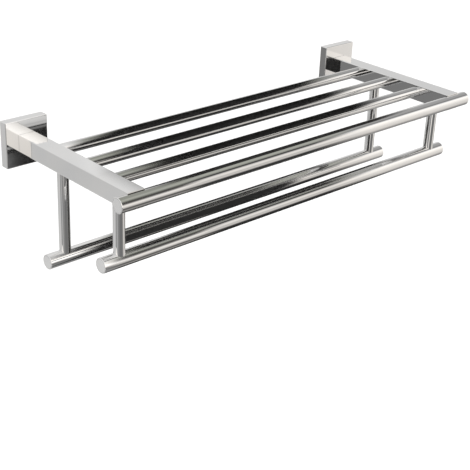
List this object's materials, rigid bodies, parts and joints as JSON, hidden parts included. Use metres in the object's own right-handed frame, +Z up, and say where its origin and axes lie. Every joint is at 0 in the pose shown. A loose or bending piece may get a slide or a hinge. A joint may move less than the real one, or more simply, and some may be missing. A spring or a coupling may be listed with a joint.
{
  "type": "towel rack",
  "caption": "Wall-mounted towel rack: square arms on square wall plates carry a shelf of round tubes with a larger front rail, and towel bars hang below on posts.",
  "frame": {"origin": "on the wall, at the centre of the four wall screw holes: midway between the arms and level with their centre lines", "axes": "+X along the wall to the right as seen from the room, +Y into the wall, +Z up"},
  "size_m": [0.522, 0.202, 0.14],
  "materials": {
    "polished_plate": "mirror polished",
    "polished_arm": "mirror polished",
    "polished_tube": "mirror polished",
    "polished_post": "mirror polished",
    "satin_end": "fine-turned and polished",
    "bracket_steel": "mill",
    "block_steel": "machined",
    "fastener_steel": "plain stainless"
  },
  "bodies": {
    "root": {"wall_bracket_left": "bracket_steel", "wall_bracket_right": "bracket_steel", "wall_plate_left": "polished_plate", "wall_plate_right": "polished_plate", "plate_set_screw_left": "fastener_steel", "plate_set_screw_right": "fastener_steel", "arm_bolt_left": "fastener_steel", "arm_bolt_right": "fastener_steel", "arm_left": "polished_arm", "arm_right": "polished_arm", "arm_base_block_left": "block_steel", "arm_base_block_right": "block_steel", "arm_front_block_left": "block_steel", "arm_front_block_right": "block_steel", "rail_screw_left": "fastener_steel", "rail_screw_right": "fastener_steel", "front_rail": "polished_tube", "rail_plug_left": "satin_end", "rail_plug_right": "satin_end", "shelf_tube_rear": "polished_tube", "shelf_tube_middle": "polished_tube", "shelf_tube_front": "polished_tube", "post_nuts_left": "fastener_steel", "post_nuts_right": "fastener_steel", "post_front_left": "polished_post", "post_front_right": "polished_post", "post_rear_left": "polished_post", "post_rear_right": "polished_post", "towel_bar_front": "polished_tube", "towel_bar_rear": "polished_tube", "front_bar_plug_left": "satin_end", "front_bar_plug_right": "satin_end", "rear_bar_plug_left": "satin_end", "rear_bar_plug_right": "satin_end", "bar_screws_left": "fastener_steel", "bar_screws_right": "fastener_steel"}
  },
  "joints": []
}
